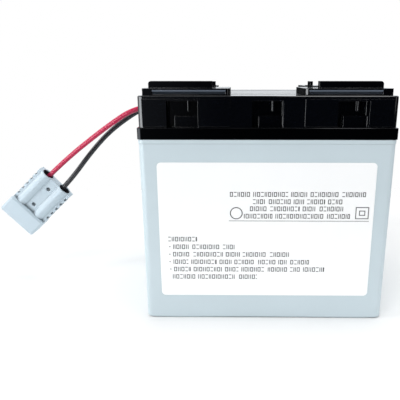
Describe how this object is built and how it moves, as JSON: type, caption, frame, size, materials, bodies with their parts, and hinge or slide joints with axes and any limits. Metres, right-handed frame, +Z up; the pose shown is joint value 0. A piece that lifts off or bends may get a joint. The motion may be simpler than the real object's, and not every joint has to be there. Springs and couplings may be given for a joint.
{
  "type": "ups battery cartridge",
  "caption": "Block of side-by-side sealed batteries wired in series, with covered terminals and a red and black lead to a two-pole plug, for an uninterruptible power supply.",
  "frame": {"origin": "centre of the footprint on the floor, measured without the leads and their connector", "axes": "+X along the width, away from the leads; +Y from the labelled face to the back; +Z up"},
  "size_m": [0.3218, 0.154, 0.1765],
  "materials": {
    "case_plastic": "satin",
    "lid_plastic": "gloss",
    "cover_plastic": "gloss",
    "vent_plastic": "satin",
    "label": "satin",
    "foam": "matte",
    "cap_rubber": "matte",
    "lead_metal": "dull",
    "lead_oxide": "dull",
    "glass_mat": "matte",
    "terminal_metal": "satin",
    "seal_rubber": "matte",
    "fastener": "satin",
    "lug_metal": "satin",
    "red_sheath": "satin",
    "black_sheath": "satin",
    "housing_plastic": "satin",
    "contact_metal": "polished",
    "spring_steel": "satin"
  },
  "bodies": {
    "root": {"front_case": "case_plastic", "front_lid": "lid_plastic", "front_vent_cover": "vent_plastic", "front_valve_caps": "cap_rubber", "front_positive_plates": "lead_oxide", "front_negative_plates": "lead_metal", "front_separators": "glass_mat", "front_positive_terminal": "terminal_metal", "front_negative_terminal": "terminal_metal", "rear_case": "case_plastic", "rear_lid": "lid_plastic", "rear_vent_cover": "vent_plastic", "rear_valve_caps": "cap_rubber", "rear_positive_plates": "lead_oxide", "rear_negative_plates": "lead_metal", "rear_separators": "glass_mat", "rear_positive_terminal": "terminal_metal", "rear_negative_terminal": "terminal_metal", "terminal_seals": "seal_rubber", "terminal_bolts": "fastener", "terminal_washers": "fastener", "terminal_nuts": "fastener", "red_lead_lug": "lug_metal", "black_lead_lug": "lug_metal", "link_lugs": "lug_metal", "link_lead": "black_sheath", "left_terminal_cover": "cover_plastic", "right_terminal_cover": "cover_plastic", "front_label": "label", "joining_pads": "foam", "red_lead": "red_sheath", "black_lead": "black_sheath", "connector_housing": "housing_plastic", "connector_contacts": "contact_metal", "contact_springs": "spring_steel"}
  },
  "joints": []
}
